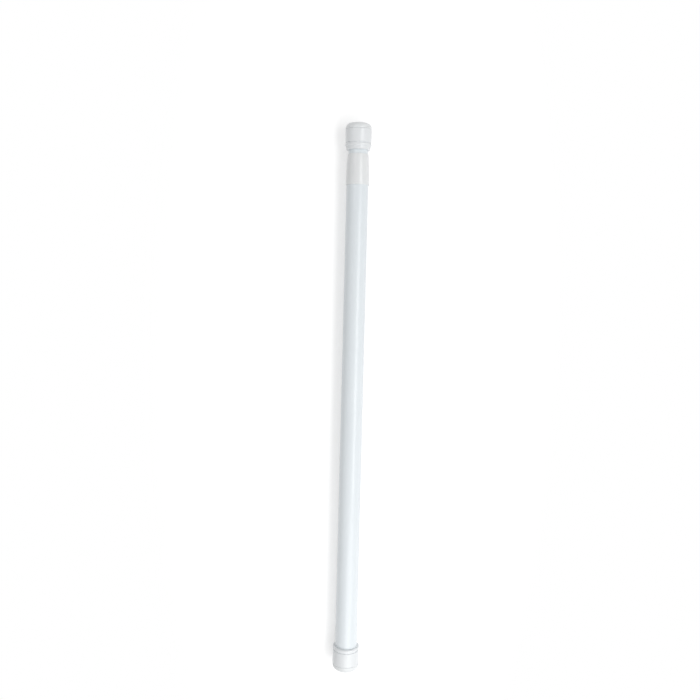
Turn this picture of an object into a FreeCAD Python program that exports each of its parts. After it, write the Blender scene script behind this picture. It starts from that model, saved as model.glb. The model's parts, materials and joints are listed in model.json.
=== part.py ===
import FreeCAD
import Part
import Sketcher
import math
import os

# Spring tension rod for a bath curtain, pushed right in.
#
# Frame: the origin is the centre of the wide tube's foot, on its wall face. +X runs along the rod to
# the other foot and +Z is up. The wide tube is taken as held; everything else moves against it.
#
# From left to right the rod holds: foot pad, cap with its screw and plug, the locking head on its
# spindle, the sprung end of the thin tube, the wide tube's mouth with its ferrule, then the thin
# tube's neck, reducer, cap and foot pad.

SIZES = [
    ("collapsed_length", 700.0, "foot to foot, pushed right in"),
    ("outer_tube_d", 28.0, "wide tube, outside"),
    ("outer_tube_wall", 1.0, "wide tube, wall"),
    ("tube_gap", 0.5, "radial gap between the tubes"),
    ("inner_tube_wall", 1.0, "thin tube, wall"),
    ("press_clearance", 0.1, "radial gap of pieces that are pressed or screwed together"),
    ("slide_clearance", 0.07, "radial gap of running fits"),
    ("free_clearance", 0.3, "radial gap of pieces that only pass each other"),
    ("pad_step", 0.2, "foot pad's side inside the cap's"),
    ("pad_thickness", 8.0, "foot pad, the part that shows"),
    ("pad_edge_r", 6.5, "rounding of the foot pad's edge"),
    ("tread_depth", 0.6, "rings in the foot's wall face"),
    ("tread_width", 1.2, "rings in the foot's wall face"),
    ("tread_first_r", 3.0, "inner radius of the first ring"),
    ("tread_pitch", 2.6, "from ring to ring"),
    ("tread_rings", 2, "number of those rings"),
    ("seat_width", 4.0, "face of the cap round the recess that the pad's spigot fills"),
    ("recess_depth", 2.5, "depth of that recess"),
    ("cap_wall", 2.5, "cap's wall at the groove"),
    ("cap_draft", 0.4, "how much the cap's radius grows from there to the pad"),
    ("cap_length", 22.0, "cap without its pad"),
    ("cap_floor", 3.0, "floor between recess and socket"),
    ("seam_edge", 0.5, "broken edges of cap and pad at their seam"),
    ("groove_width", 1.0, "groove beside the rim bead"),
    ("groove_depth", 0.9, "groove beside the rim bead"),
    ("groove_edge", 0.6, "chamfer of the cap's wall at the groove"),
    ("bead_height", 0.3, "rim bead above the cap's wall"),
    ("bead_width", 3.8, "rim bead"),
    ("bead_edge", 0.9, "chamfers of the bead"),
    ("screw_d", 4.0, "cap screw, shank"),
    ("screw_length", 15.0, "cap screw, under the head"),
    ("screw_head_d", 8.0, "cap screw, pan head"),
    ("screw_head_height", 2.1, "cap screw, pan head"),
    ("cross_width", 1.1, "cross recess in the screw head"),
    ("cross_span", 4.6, "cross recess in the screw head"),
    ("cross_depth", 1.3, "cross recess in the screw head"),
    ("plug_length", 18.0, "plug in a tube's outer end"),
    ("plug_floor", 3.0, "solid end of that plug"),
    ("plug_ring_wall", 1.6, "outer ring of that plug"),
    ("plug_hub_d", 9.0, "hub that takes the screw"),
    ("plug_rib", 1.6, "ribs between hub and ring"),
    ("plug_ribs", 6, "number of ribs"),
    ("collar_height", 1.5, "reducer's collar above the wide tube's size"),
    ("collar_length", 4.5, "reducer, the part that shows"),
    ("collar_edge", 0.6, "chamfer of the reducer's collar"),
    ("neck_length", 5.0, "thin tube that shows when pushed right in"),
    ("ferrule_length", 40.0, "ferrule on the wide tube's mouth"),
    ("ferrule_wall", 0.8, "ferrule's wall over the wide tube"),
    ("ferrule_end_wall", 0.73, "ferrule's wall at the neck"),
    ("ferrule_land", 22.0, "running bore beyond the wide tube's mouth"),
    ("ferrule_straight", 4.0, "straight band before the bell"),
    ("ferrule_lip", 0.5, "broken edge of the ferrule"),
    ("head_gap", 0.5, "from the cap's plug to the spindle's tip, pushed right in"),
    ("tip_length", 2.0, "spindle past the stop nut"),
    ("tip_chamfer", 0.8, "chamfer of the spindle's tip"),
    ("thread_d", 6.0, "thread of the spindle, at its crests"),
    ("nut_across", 10.0, "both nuts, across flats"),
    ("nut_chamfer", 0.6, "both nuts, corner chamfer along the axis"),
    ("stop_nut_t", 5.0, "stop nut"),
    ("cone_nut_t", 5.2, "nut held in the cone"),
    ("nut_gap", 1.0, "from stop nut to cone"),
    ("cone_rim", 5.0, "straight part at the cone's wide end"),
    ("cone_taper_length", 15.0, "tapered part"),
    ("cone_drop", 2.6, "how much the radius falls along it"),
    ("cone_stand", 7.0, "cone outside the sleeve when unlocked"),
    ("cone_travel", 2.0, "travel to lock, two turns of the thread"),
    ("key_width", 2.0, "keys on the cone that run in the sleeve's slits"),
    ("key_length", 12.0, "those keys, along the cone"),
    ("sleeve_length", 36.0, "expander sleeve"),
    ("sleeve_lip", 1.5, "sleeve's wall at its mouth"),
    ("sleeve_end_room", 1.5, "from the locked cone to the hollow's floor"),
    ("grip_pitch", 4.0, "grip rings on the sleeve"),
    ("grip_width", 1.2, "grooves between the grip rings"),
    ("grip_depth", 0.5, "grooves between the grip rings"),
    ("grip_count", 4, "number of those grooves"),
    ("band_width", 3.0, "drag band"),
    ("band_thickness", 2.0, "drag band"),
    ("band_setback", 6.0, "from the sleeve's closed end to the band"),
    ("washer_d", 18.0, "thrust washer"),
    ("washer_t", 1.6, "thrust washer"),
    ("hex_across", 8.0, "spindle shank, across flats"),
    ("shank_spare", 2.0, "shank between washer and guide plug beyond the spring's travel"),
    ("flange_t", 2.0, "flange of the guide plug"),
    ("guide_length", 18.0, "guide plug inside the thin tube"),
    ("pin_d", 3.0, "retaining pins"),
    ("pin_length", 4.2, "retaining pins"),
    ("pin_flush", 0.1, "pins below the thin tube's surface"),
    ("spigot_d", 5.0, "rear spigot of the spindle"),
    ("spigot_tail", 2.0, "spigot past its clip"),
    ("plate_gap", 1.0, "spring plate inside the thin tube's bore"),
    ("plate_t", 3.0, "spring plate's flange"),
    ("boss_t", 2.0, "boss of the plate, inside the spring"),
    ("clip_height", 2.0, "retaining clip above the spigot"),
    ("clip_t", 0.8, "retaining clip"),
    ("clip_groove", 0.4, "depth of the groove that the clip sits in"),
    ("clip_gap_angle", 70.0, "opening of the clip, in degrees"),
    ("wire_d", 2.5, "spring wire"),
    ("spring_gap", 1.5, "spring inside the thin tube's bore"),
    ("spring_length", 50.0, "spring as fitted"),
    ("spring_coils", 6, "open coils"),
    ("seat_t", 8.0, "spring seat"),
    ("seat_boss", 5.0, "boss of the seat, inside the spring"),
]

# How far a cutting outline reaches past the piece, in millimetres, and the least volume that a cut
# has to take, in cubic millimetres
CUT_SPARE = 1.0
LEAST_CUT = 1e-6


class Size:
    """A length that knows its value and the sheet expression that gives it."""

    def __init__(self, value, text):
        self.value = float(value)
        self.text = text

    def __add__(self, other):
        other = as_size(other)
        return Size(self.value + other.value, f"({self.text} + {other.text})")

    def __sub__(self, other):
        other = as_size(other)
        return Size(self.value - other.value, f"({self.text} - {other.text})")

    def __mul__(self, other):
        other = as_size(other)
        return Size(self.value * other.value, f"({self.text} * {other.text})")

    def __truediv__(self, other):
        other = as_size(other)
        return Size(self.value / other.value, f"({self.text} / {other.text})")

    def __radd__(self, other):
        return as_size(other) + self

    def __rsub__(self, other):
        return as_size(other) - self

    def __rmul__(self, other):
        return as_size(other) * self

    def __neg__(self):
        return Size(-self.value, f"(-1 * {self.text})")


def as_size(number):
    return number if isinstance(number, Size) else Size(number, repr(number))


class Sheet:
    """The spreadsheet of driving sizes. sheet.wire_d gives the size called wire_d."""

    def __init__(self, doc, rows):
        self.cells = doc.addObject("Spreadsheet::Sheet", "Sizes")
        self.values = {}
        for row, (alias, value, note) in enumerate(rows, start=1):
            self.cells.set(f"A{row}", alias)
            self.cells.set(f"B{row}", str(value))
            self.cells.setAlias(f"B{row}", alias)
            self.cells.set(f"C{row}", note)
            self.values[alias] = value

    def __getattr__(self, alias):
        return Size(self.values[alias], f"Sizes.{alias}")


doc = FreeCAD.newDocument("spring_tension_rod")
sheet = Sheet(doc, SIZES)
doc.recompute()

# Sizes that several pieces share
outer_r = sheet.outer_tube_d / 2
outer_bore_r = outer_r - sheet.outer_tube_wall
inner_r = outer_bore_r - sheet.tube_gap
inner_bore_r = inner_r - sheet.inner_tube_wall
socket_r = outer_r + sheet.press_clearance
cap_neck_r = socket_r + sheet.cap_wall
cap_r = cap_neck_r + sheet.cap_draft
recess_r = cap_r - sheet.seat_width
thread_r = sheet.thread_d / 2
spigot_r = sheet.spigot_d / 2
spring_r = inner_bore_r - sheet.spring_gap
boss_r = spring_r - sheet.wire_d - sheet.free_clearance

# The cone's taper and the sleeve's hollow, parallel and just clear of each other when locked
cone_slope = sheet.cone_drop / sheet.cone_taper_length
sleeve_r = outer_bore_r - sheet.free_clearance
sleeve_mouth_r = sleeve_r - sheet.sleeve_lip
cone_room = sheet.cone_travel * cone_slope + sheet.slide_clearance
cone_r = sleeve_mouth_r + (sheet.cone_stand - sheet.cone_rim) * cone_slope - cone_room
cone_length = sheet.cone_rim + sheet.cone_taper_length
sleeve_hollow = cone_length - sheet.cone_stand + sheet.cone_travel + sheet.sleeve_end_room

# Places along the rod
tube_inset = sheet.pad_thickness + sheet.recess_depth + sheet.cap_floor
far_tube_end = sheet.collapsed_length - tube_inset
far_rim = sheet.collapsed_length - sheet.pad_thickness - sheet.cap_length
ferrule_x = far_rim - sheet.collar_length - sheet.neck_length - sheet.ferrule_length
mouth_x = ferrule_x + sheet.ferrule_length - sheet.ferrule_land
tip_x = tube_inset + sheet.plug_length + sheet.head_gap
stop_nut_x = tip_x + sheet.tip_length
cone_x = stop_nut_x + sheet.stop_nut_t + sheet.nut_gap
sleeve_x = cone_x + sheet.cone_stand
washer_x = sleeve_x + sheet.sleeve_length
shoulder_x = washer_x + sheet.washer_t
spring_travel = sheet.neck_length - sheet.free_clearance
flange_x = shoulder_x + spring_travel + sheet.shank_spare
thin_tube_x = flange_x + sheet.flange_t
plate_x = thin_tube_x + sheet.guide_length
spring_x = plate_x + sheet.plate_t
seat_x = spring_x + sheet.spring_length


def named(kind, label, x=0, flipped=False):
    """A new object with its label, at a place along the rod. Flipped pieces face the other way."""
    piece = doc.addObject(kind, label)
    piece.Label = label
    if flipped:
        half_turn = FreeCAD.Rotation(FreeCAD.Vector(0, 0, 1), 180)
        piece.Placement = FreeCAD.Placement(FreeCAD.Vector(), half_turn)
    piece.setExpression("Placement.Base.x", as_size(x).text)
    return piece


def new_body(label, x=0, flipped=False):
    return named("PartDesign::Body", label, x, flipped)


def origin_part(body, role):
    return next(item for item in body.Origin.OriginFeatures if item.Role == role)


def new_sketch(body, name, role, offset=None):
    """An empty sketch on one of the body's own planes, moved along the plane's normal by offset."""
    sketch = body.newObject("Sketcher::SketchObject", f"{body.Label}_{name}")
    sketch.AttachmentSupport = [(origin_part(body, role), "")]
    sketch.MapMode = "FlatFace"
    if offset is not None:
        sketch.setExpression("AttachmentOffset.Base.z", as_size(offset).text)
    return sketch


def bind(sketch, kind, places, size):
    """Adds one dimension to a sketch and ties it to the sheet."""
    index = sketch.addConstraint(Sketcher.Constraint(kind, *places, size.value))
    sketch.setExpression(f"Constraints[{index}]", size.text)


def pin_down(sketch, geometry, end, x, y):
    """Gives one end of a line or arc its place from the sketch's origin."""
    for kind, size, axis in (("DistanceX", x, -2), ("DistanceY", y, -1)):
        size = as_size(size)
        if size.text in ("0", "0.0"):
            sketch.addConstraint(Sketcher.Constraint("PointOnObject", geometry, end, axis))
        else:
            bind(sketch, kind, (-1, 1, geometry, end), size)


def arc_between(start, finish, radius, left):
    """The short arc from start to finish, with its centre to the left or right of the way there."""
    chord = finish - start
    half = chord.Length / 2
    across = FreeCAD.Vector(-chord.y, chord.x, 0).normalize()
    reach = math.sqrt(max(radius * radius - half * half, 0.0))
    centre = (start + finish) / 2 + across * (reach if left else -reach)
    first, last = (start, finish) if left else (finish, start)
    angles = [math.atan2(p.y - centre.y, p.x - centre.x) for p in (first, last)]
    circle = Part.Circle(centre, FreeCAD.Vector(0, 0, 1), radius)
    return Part.ArcOfCircle(circle, angles[0], angles[1])


def draw_outline(sketch, path):
    """A closed outline. Each step is (x, y) for a line to that point, or (x, y, radius, side) for an
    arc to it whose centre lies on that side of the way there."""
    first_geometry = sketch.GeometryCount
    spots = [FreeCAD.Vector(as_size(p[0]).value, as_size(p[1]).value, 0) for p in path]
    ends = []
    for index, start in enumerate(spots):
        following = path[(index + 1) % len(path)]
        finish = spots[(index + 1) % len(path)]
        if len(following) == 4:
            left = following[3] == "left"
            arc = arc_between(start, finish, following[2].value, left)
            number = sketch.addGeometry(arc)
            bind(sketch, "Radius", (number,), following[2])
            ends.append((1, 2) if left else (2, 1))
        else:
            number = sketch.addGeometry(Part.LineSegment(start, finish))
            ends.append((1, 2))
    for index, (entry, leave) in enumerate(ends):
        number = first_geometry + index
        after = (index + 1) % len(ends)
        joined = (number, leave, first_geometry + after, ends[after][0])
        sketch.addConstraint(Sketcher.Constraint("Coincident", *joined))
        pin_down(sketch, number, entry, path[index][0], path[index][1])
    return sketch


def draw_circle(sketch, x, y, radius):
    centre = FreeCAD.Vector(as_size(x).value, as_size(y).value, 0)
    circle = Part.Circle(centre, FreeCAD.Vector(0, 0, 1), radius.value)
    number = sketch.addGeometry(circle)
    bind(sketch, "Radius", (number,), radius)
    pin_down(sketch, number, 3, x, y)
    return sketch


def draw_bar(sketch, half_width, half_height):
    """A rectangle about the sketch's origin."""
    corners = [(-half_width, -half_height), (half_width, -half_height)]
    corners += [(half_width, half_height), (-half_width, half_height)]
    return draw_outline(sketch, corners)


def draw_hexagon(sketch, across):
    """A hexagon about the sketch's origin, with two corners on its own X axis."""
    corner = across / math.sqrt(3)
    flat = across / 2
    right = [(corner / 2, -flat), (corner, 0), (corner / 2, flat)]
    left = [(-corner / 2, flat), (-corner, 0), (-corner / 2, -flat)]
    return draw_outline(sketch, right + left)


def revolve(body, path, angle=360.0):
    """Turns an outline, drawn as (along the rod, radius), about the rod's axis."""
    sketch = draw_outline(new_sketch(body, "outline", "XZ_Plane"), path)
    feature = body.newObject("PartDesign::Revolution", f"{body.Label}_turned")
    feature.Profile = sketch
    feature.ReferenceAxis = (sketch, ["H_Axis"])
    feature.Angle = angle
    return feature


def pad(body, sketch, length):
    """Raises a sketch of the YZ plane towards +X."""
    feature = body.newObject("PartDesign::Pad", f"{sketch.Name}_pad")
    feature.Profile = sketch
    feature.setExpression("Length", length.text)
    return feature


def cut(body, sketch, depth, both_ways=False):
    """Cuts a sketch towards +X, or both ways from its plane, and makes sure that it took material."""
    doc.recompute()
    before = body.Shape.Volume
    feature = body.newObject("PartDesign::Pocket", f"{sketch.Name}_cut")
    feature.Profile = sketch
    feature.Reversed = True
    if both_ways:
        feature.SideType = "Symmetric"
    feature.setExpression("Length", depth.text)
    doc.recompute()
    if not body.Shape.Volume < before - LEAST_CUT:
        raise RuntimeError(f"{feature.Name} cuts nothing")
    return feature


def repeat_round(body, feature, count, angle=360.0):
    """Copies a feature round the rod's axis."""
    pattern = body.newObject("PartDesign::PolarPattern", f"{feature.Name}_round")
    pattern.Originals = [feature]
    pattern.Axis = (origin_part(body, "X_Axis"), [""])
    pattern.Angle = angle
    pattern.setExpression("Occurrences", as_size(count).text)
    body.Tip = pattern
    return pattern


def ring(label, x, length, outside_r, bore_r, flipped=False):
    """A plain tube, washer or band."""
    body = new_body(label, x, flipped)
    revolve(body, [(0, bore_r), (0, outside_r), (length, outside_r), (length, bore_r)])
    return body


def foot_pad(label, x, flipped=False):
    """Soft foot: flat wall face with tread rings, a full rounding, and a spigot for the cap's recess
    with room for the screw's head."""
    body = new_body(label, x, flipped)
    outside = cap_r - sheet.pad_step
    foot_r = recess_r - sheet.press_clearance
    relief_r = sheet.screw_head_d / 2 + sheet.free_clearance
    back = sheet.pad_thickness + sheet.recess_depth - sheet.press_clearance
    relief = back - sheet.screw_head_height - sheet.free_clearance
    path = [(relief, 0), (0, 0)]
    for number in range(int(sheet.tread_rings.value)):
        near = sheet.tread_first_r + number * sheet.tread_pitch
        path.append((0, near))
        path.append((sheet.tread_depth, near))
        path.append((sheet.tread_depth, near + sheet.tread_width))
        path.append((0, near + sheet.tread_width))
    path.append((0, outside - sheet.pad_edge_r))
    path.append((sheet.pad_edge_r, outside, sheet.pad_edge_r, "right"))
    path.append((sheet.pad_thickness - sheet.seam_edge, outside))
    path.append((sheet.pad_thickness, outside - sheet.seam_edge))
    path.append((sheet.pad_thickness, foot_r))
    path.append((back, foot_r))
    path.append((back, relief_r))
    path.append((relief, relief_r))
    revolve(body, path)
    return body


def end_cap(label, x, flipped=False):
    """Moulded cup: recess for the pad, floor with the screw's hole, socket for the tube, slight draft,
    and a rim bead behind a groove."""
    body = new_body(label, x, flipped)
    hole_r = sheet.screw_d / 2 + sheet.free_clearance
    floor_front = sheet.recess_depth
    floor_back = sheet.recess_depth + sheet.cap_floor
    bead_r = cap_neck_r + sheet.bead_height
    bead_x = sheet.cap_length - sheet.bead_width
    groove_x = bead_x - sheet.groove_width
    groove_r = cap_neck_r - sheet.groove_depth
    edge = sheet.bead_edge
    path = [(floor_front, hole_r), (floor_front, recess_r), (0, recess_r)]
    path += [(0, cap_r - sheet.seam_edge), (sheet.seam_edge, cap_r)]
    path += [(groove_x - sheet.groove_edge, cap_neck_r), (groove_x, cap_neck_r - sheet.groove_edge)]
    path += [(groove_x, groove_r), (bead_x, groove_r)]
    path += [(bead_x, bead_r - edge), (bead_x + edge, bead_r), (sheet.cap_length - edge, bead_r)]
    path += [(sheet.cap_length, bead_r - edge), (sheet.cap_length, socket_r)]
    path += [(floor_back, socket_r), (floor_back, hole_r)]
    revolve(body, path)
    return body


def cap_screw(label, x, flipped=False):
    """Pan-head screw, origin under its head. Its thread is drawn as a plain shank."""
    body = new_body(label, x, flipped)
    head_r = sheet.screw_head_d / 2
    shank_r = sheet.screw_d / 2
    height = sheet.screw_head_height
    crown = height / 2
    dome_r = (head_r * head_r + crown * crown) / (2 * crown)
    path = [(-height, 0), (-crown, head_r, dome_r, "right"), (0, head_r), (0, shank_r)]
    path += [(sheet.screw_length - sheet.screw_d, shank_r), (sheet.screw_length, 0)]
    revolve(body, path)
    slot = new_sketch(body, "cross", "YZ_Plane", offset=-height)
    draw_bar(slot, sheet.cross_span / 2, sheet.cross_width / 2)
    first = cut(body, slot, sheet.cross_depth)
    repeat_round(body, first, 2, 180.0)
    return body


def tube_plug(label, x, bore_r, flipped=False):
    """Plug in a tube's outer end: solid floor, ring and hub tied by ribs, open towards the middle."""
    body = new_body(label, x, flipped)
    outside = bore_r - sheet.press_clearance
    ring_r = outside - sheet.plug_ring_wall
    hub_r = sheet.plug_hub_d / 2
    hole_r = sheet.screw_d / 2 + sheet.press_clearance
    path = [(0, hole_r), (0, outside), (sheet.plug_length, outside), (sheet.plug_length, ring_r)]
    path += [(sheet.plug_floor, ring_r), (sheet.plug_floor, hub_r), (sheet.plug_length, hub_r)]
    path += [(sheet.plug_length, hole_r)]
    revolve(body, path)
    overlap = sheet.plug_ring_wall / 4
    near = hub_r - overlap
    far = ring_r + overlap
    half = sheet.plug_rib / 2
    rib = new_sketch(body, "rib", "YZ_Plane", offset=sheet.plug_floor)
    draw_outline(rib, [(near, -half), (far, -half), (far, half), (near, half)])
    first = pad(body, rib, sheet.plug_length - sheet.plug_floor)
    repeat_round(body, first, sheet.plug_ribs)
    return body


def reducer(label, x, flipped=False):
    """Bush that makes the thin tube fit the cap's socket, with a collar that shows at the rim."""
    body = new_body(label, x, flipped)
    depth = sheet.cap_length - sheet.recess_depth - sheet.cap_floor
    bore_r = inner_r + sheet.press_clearance
    collar_r = outer_r + sheet.collar_height
    far = depth + sheet.collar_length
    edge = sheet.collar_edge
    path = [(0, bore_r), (0, outer_r), (depth, outer_r), (depth, collar_r)]
    path += [(far - edge, collar_r), (far, collar_r - edge), (far, bore_r)]
    revolve(body, path)
    return body


def mouth_ferrule():
    """Bell-shaped ferrule: socket over the wide tube, running bore for the thin one, and an outline
    that falls along one wide arc from the wide tube to the neck."""
    body = new_body("mouth_ferrule", ferrule_x)
    wide_r = socket_r + sheet.ferrule_wall
    bore_r = inner_r + sheet.slide_clearance
    end_r = bore_r + sheet.ferrule_end_wall
    socket = sheet.ferrule_length - sheet.ferrule_land
    lip = sheet.ferrule_lip
    run = sheet.ferrule_length - sheet.ferrule_straight - lip
    drop = wide_r - end_r
    bell_r = (run * run + drop * drop) / (2 * drop)
    path = [(0, socket_r), (0, wide_r - lip), (lip, wide_r), (sheet.ferrule_straight, wide_r)]
    path += [(sheet.ferrule_straight + run, end_r, bell_r, "right")]
    path += [(sheet.ferrule_length, end_r - lip), (sheet.ferrule_length, bore_r)]
    path += [(socket, bore_r), (socket, socket_r)]
    revolve(body, path)
    return body


def hex_nut(label, x, thickness):
    """Chamfered hexagon nut with a plain bore that runs on the thread's crests."""
    body = new_body(label, x)
    corner_r = sheet.nut_across / math.sqrt(3)
    slope = corner_r - sheet.nut_across / 2
    bore_r = thread_r + sheet.slide_clearance
    chamfer = sheet.nut_chamfer
    path = [(0, bore_r), (0, corner_r - slope), (chamfer, corner_r)]
    path += [(thickness - chamfer, corner_r), (thickness, corner_r - slope), (thickness, bore_r)]
    revolve(body, path)
    waste = new_sketch(body, "flats", "YZ_Plane")
    draw_hexagon(waste, sheet.nut_across)
    draw_circle(waste, 0, 0, corner_r + CUT_SPARE)
    cut(body, waste, thickness)
    return body


def expander_cone():
    """Cone with a pocket for its nut, and crossed keys that stop it from turning in the sleeve."""
    body = new_body("expander_cone", cone_x)
    path = [(0, 0), (0, cone_r), (sheet.cone_rim, cone_r)]
    path += [(cone_length, cone_r - sheet.cone_drop), (cone_length, 0)]
    revolve(body, path)
    key_r = sleeve_r - sheet.grip_depth
    keys = new_sketch(body, "keys", "YZ_Plane")
    draw_bar(keys, key_r, sheet.key_width / 2)
    repeat_round(body, pad(body, keys, sheet.key_length), 2, 180.0)
    bore = new_sketch(body, "bore", "YZ_Plane")
    draw_circle(bore, 0, 0, thread_r + sheet.free_clearance)
    cut(body, bore, cone_length)
    pocket = new_sketch(body, "pocket", "YZ_Plane")
    draw_hexagon(pocket, sheet.nut_across + 2 * sheet.press_clearance)
    cut(body, pocket, sheet.cone_nut_t)
    return body


def expander_sleeve():
    """Sleeve whose four fingers the cone spreads: tapered hollow, grip rings, a groove for the drag
    band, and crossed slits. The hollow leaves the cone room for its whole travel."""
    body = new_body("expander_sleeve", sleeve_x)
    bore_r = thread_r + sheet.free_clearance
    floor_r = sleeve_mouth_r - sleeve_hollow * cone_slope
    band_x = sheet.sleeve_length - sheet.band_setback - sheet.band_width
    band_r = outer_bore_r - sheet.slide_clearance * 2 - sheet.band_thickness
    side = sheet.press_clearance
    path = [(0, sleeve_mouth_r), (0, sleeve_r)]
    for number in range(int(sheet.grip_count.value)):
        near = sheet.grip_pitch * (number + 1) - sheet.grip_width
        path.append((near, sleeve_r))
        path.append((near, sleeve_r - sheet.grip_depth))
        path.append((near + sheet.grip_width, sleeve_r - sheet.grip_depth))
        path.append((near + sheet.grip_width, sleeve_r))
    path += [(band_x - side, sleeve_r), (band_x - side, band_r)]
    path += [(band_x + sheet.band_width + side, band_r)]
    path += [(band_x + sheet.band_width + side, sleeve_r)]
    path += [(sheet.sleeve_length, sleeve_r), (sheet.sleeve_length, bore_r)]
    path += [(sleeve_hollow, bore_r), (sleeve_hollow, floor_r)]
    revolve(body, path)
    slits = new_sketch(body, "slits", "YZ_Plane")
    draw_bar(slits, sleeve_r + CUT_SPARE, sheet.key_width / 2 + sheet.free_clearance)
    repeat_round(body, cut(body, slits, sleeve_hollow), 2, 180.0)
    return body


def spindle():
    """Steel rod: thread with a chamfered tip, hexagon shank that slides in the guide plug, and a
    spigot with a clip groove for the spring plate. The thread is drawn at its crests."""
    body = new_body("spindle", tip_x)
    groove_r = spigot_r - sheet.clip_groove
    core_r = sheet.hex_across / 2 - sheet.press_clearance
    shoulder = shoulder_x - tip_x
    hex_end = plate_x - tip_x
    clip = hex_end + sheet.plate_t + sheet.boss_t
    path = [(0, 0), (0, thread_r - sheet.tip_chamfer), (sheet.tip_chamfer, thread_r)]
    path += [(shoulder, thread_r), (shoulder, core_r), (hex_end, core_r), (hex_end, spigot_r)]
    path += [(clip, spigot_r), (clip, groove_r), (clip + sheet.clip_t, groove_r)]
    path += [(clip + sheet.clip_t, spigot_r), (clip + sheet.clip_t + sheet.spigot_tail, spigot_r)]
    path += [(clip + sheet.clip_t + sheet.spigot_tail, 0)]
    revolve(body, path)
    shank = new_sketch(body, "shank", "YZ_Plane", offset=shoulder)
    draw_hexagon(shank, sheet.hex_across)
    pad(body, shank, hex_end - shoulder)
    return body


def pin_holes(body, at):
    """Holes for two opposite pins, drilled right across a piece of the thin tube."""
    holes = new_sketch(body, f"holes{len(body.Group)}", "XY_Plane")
    draw_circle(holes, at, 0, sheet.pin_d / 2 + sheet.press_clearance)
    cut(body, holes, sheet.outer_tube_d, both_ways=True)


def thin_tube():
    """Thin tube, drilled across for the pins of the guide plug and of the spring seat."""
    body = ring("inner_tube", thin_tube_x, far_tube_end - thin_tube_x, inner_r, inner_bore_r)
    pin_holes(body, sheet.guide_length / 2)
    pin_holes(body, seat_x + sheet.seat_t / 2 - thin_tube_x)
    return body


def guide_plug():
    """Plug in the thin tube's inner end: its flange runs in the wide tube, and its hexagon hole turns
    the spindle and lets it slide."""
    body = new_body("guide_plug", flange_x)
    plug_r = inner_bore_r - sheet.press_clearance
    length = sheet.flange_t + sheet.guide_length
    path = [(0, 0), (0, sleeve_r), (sheet.flange_t, sleeve_r), (sheet.flange_t, plug_r)]
    path += [(length, plug_r), (length, 0)]
    revolve(body, path)
    hole = new_sketch(body, "hexagon", "YZ_Plane")
    draw_hexagon(hole, sheet.hex_across + 2 * sheet.slide_clearance)
    cut(body, hole, length)
    pin_holes(body, sheet.flange_t + sheet.guide_length / 2)
    return body


def spring_plate():
    """Plate that the spring pushes: a flange and a boss that keeps the coils central."""
    body = new_body("spring_plate", plate_x)
    plate_r = inner_bore_r - sheet.plate_gap
    bore_r = spigot_r + sheet.press_clearance
    far = sheet.plate_t + sheet.boss_t
    path = [(0, bore_r), (0, plate_r), (sheet.plate_t, plate_r), (sheet.plate_t, boss_r)]
    path += [(far, boss_r), (far, bore_r)]
    revolve(body, path)
    return body


def plate_clip():
    """Open retaining ring in the spigot's groove."""
    body = new_body("plate_clip", spring_x + sheet.boss_t)
    groove_r = spigot_r - sheet.clip_groove + sheet.slide_clearance
    clip_r = spigot_r + sheet.clip_height
    length = sheet.clip_t - sheet.slide_clearance
    path = [(0, groove_r), (0, clip_r), (length, clip_r), (length, groove_r)]
    turned = revolve(body, path)
    turned.setExpression("Angle", (360 - sheet.clip_gap_angle).text)
    return body


def spring_seat():
    """Seat pinned in the thin tube, with a boss inside the spring's last coils."""
    body = new_body("spring_seat", seat_x)
    seat_r = inner_bore_r - sheet.press_clearance
    path = [(-sheet.seat_boss, 0), (-sheet.seat_boss, boss_r), (0, boss_r), (0, seat_r)]
    path += [(sheet.seat_t, seat_r), (sheet.seat_t, 0)]
    revolve(body, path)
    pin_holes(body, sheet.seat_t / 2)
    return body


def retaining_pins():
    """Four equal pins, two across the guide plug and two across the spring seat."""
    pins = []
    places = [thin_tube_x + sheet.guide_length / 2, seat_x + sheet.seat_t / 2]
    top = inner_r - sheet.pin_flush
    feet = [top - sheet.pin_length, -top]
    for place in places:
        for foot in feet:
            pin = doc.addObject("Part::Cylinder", f"pin{len(pins) + 1}")
            pin.setExpression("Radius", (sheet.pin_d / 2).text)
            pin.setExpression("Height", sheet.pin_length.text)
            pin.setExpression("Placement.Base.x", place.text)
            pin.setExpression("Placement.Base.z", foot.text)
            pins.append(pin)
    group = doc.addObject("Part::Compound", "retaining_pins")
    group.Label = "retaining_pins"
    group.Links = pins
    return group


def coil(body, name, start, pitch, turns):
    """One stretch of the spring: the wire's eight-sided section carried along a helix."""
    half = sheet.wire_d / 2
    short = half * math.tan(math.pi / 8)
    middle_r = spring_r - half
    steps = [(half, short), (short, half), (-short, half), (-half, short)]
    steps += [(-half, -short), (-short, -half), (short, -half), (half, -short)]
    section = new_sketch(body, name, "XZ_Plane")
    draw_outline(section, [(start + x, middle_r + y) for x, y in steps])
    helix = body.newObject("PartDesign::AdditiveHelix", f"{section.Name}_helix")
    helix.Profile = section
    helix.ReferenceAxis = (section, ["H_Axis"])
    helix.Mode = "pitch-turns-angle"
    helix.Angle = 0
    helix.setExpression("Pitch", pitch.text)
    helix.setExpression("Turns", as_size(turns).text)
    return helix


def press_spring():
    """Compression spring: a closed coil at each end and open coils between them."""
    body = new_body("press_spring", spring_x)
    closed = sheet.wire_d + sheet.press_clearance
    opened = (sheet.spring_length - sheet.wire_d - 2 * closed) / sheet.spring_coils
    start = sheet.wire_d / 2
    coil(body, "first", start, closed, 1)
    coil(body, "open", start + closed, opened, sheet.spring_coils)
    coil(body, "last", start + closed + opened * sheet.spring_coils, closed, 1)
    return body


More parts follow.
